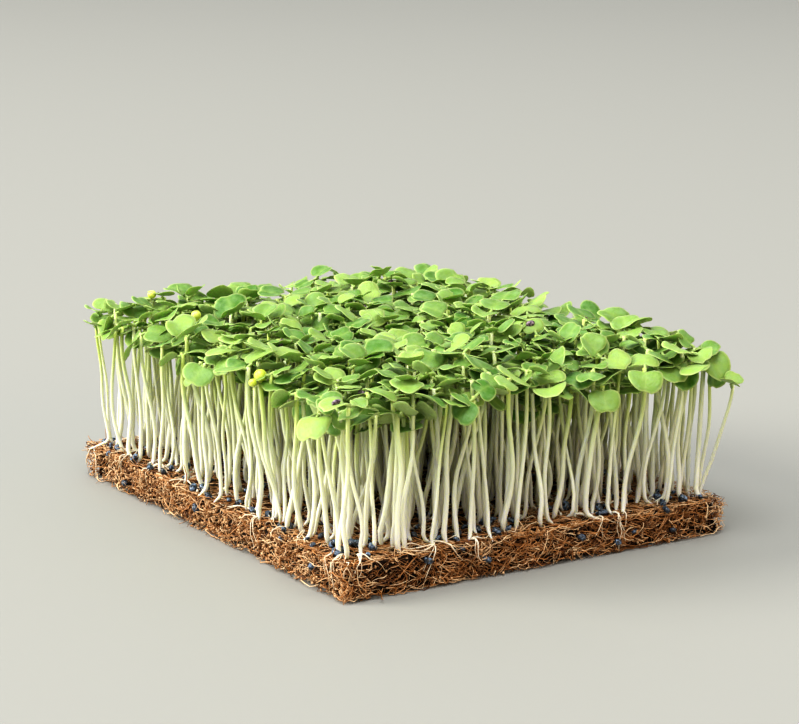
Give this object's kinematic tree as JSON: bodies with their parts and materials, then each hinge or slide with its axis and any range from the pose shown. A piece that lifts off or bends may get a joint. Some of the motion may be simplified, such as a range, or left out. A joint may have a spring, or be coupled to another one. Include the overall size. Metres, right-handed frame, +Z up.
{
  "type": "basil microgreens on a growing mat",
  "caption": "Rectangular block of young basil microgreens with round seed leaves on pale stems, growing densely from a brown coir fibre mat.",
  "frame": {"origin": "centre of the mat's flat underside", "axes": "+X along the mat's long side, +Z up out of the underside, the way the seedlings grow"},
  "size_m": [0.1318, 0.1114, 0.049],
  "materials": {
    "coir": "matte",
    "seed_leaf": "satin",
    "stem": "satin",
    "root": "matte",
    "seed": "satin"
  },
  "bodies": {
    "root": {"coir_mat": "coir", "basil_clump_1_1": "seed_leaf", "basil_clump_1_2": "seed_leaf", "basil_clump_1_3": "seed_leaf", "basil_clump_1_4": "seed_leaf", "basil_clump_1_5": "seed_leaf", "basil_clump_1_6": "seed_leaf", "basil_clump_2_1": "seed_leaf", "basil_clump_2_2": "seed_leaf", "basil_clump_2_3": "seed_leaf", "basil_clump_2_4": "seed_leaf", "basil_clump_2_5": "seed_leaf", "basil_clump_2_6": "seed_leaf", "basil_clump_3_1": "seed_leaf", "basil_clump_3_2": "seed_leaf", "basil_clump_3_3": "seed_leaf", "basil_clump_3_4": "seed_leaf", "basil_clump_3_5": "seed_leaf", "basil_clump_3_6": "seed_leaf", "basil_clump_4_1": "seed_leaf", "basil_clump_4_2": "seed_leaf", "basil_clump_4_3": "seed_leaf", "basil_clump_4_4": "seed_leaf", "basil_clump_4_5": "seed_leaf", "basil_clump_4_6": "seed_leaf", "basil_clump_5_1": "seed_leaf", "basil_clump_5_2": "seed_leaf", "basil_clump_5_3": "seed_leaf", "basil_clump_5_4": "seed_leaf", "basil_clump_5_5": "seed_leaf", "basil_clump_5_6": "seed_leaf"}
  },
  "joints": []
}
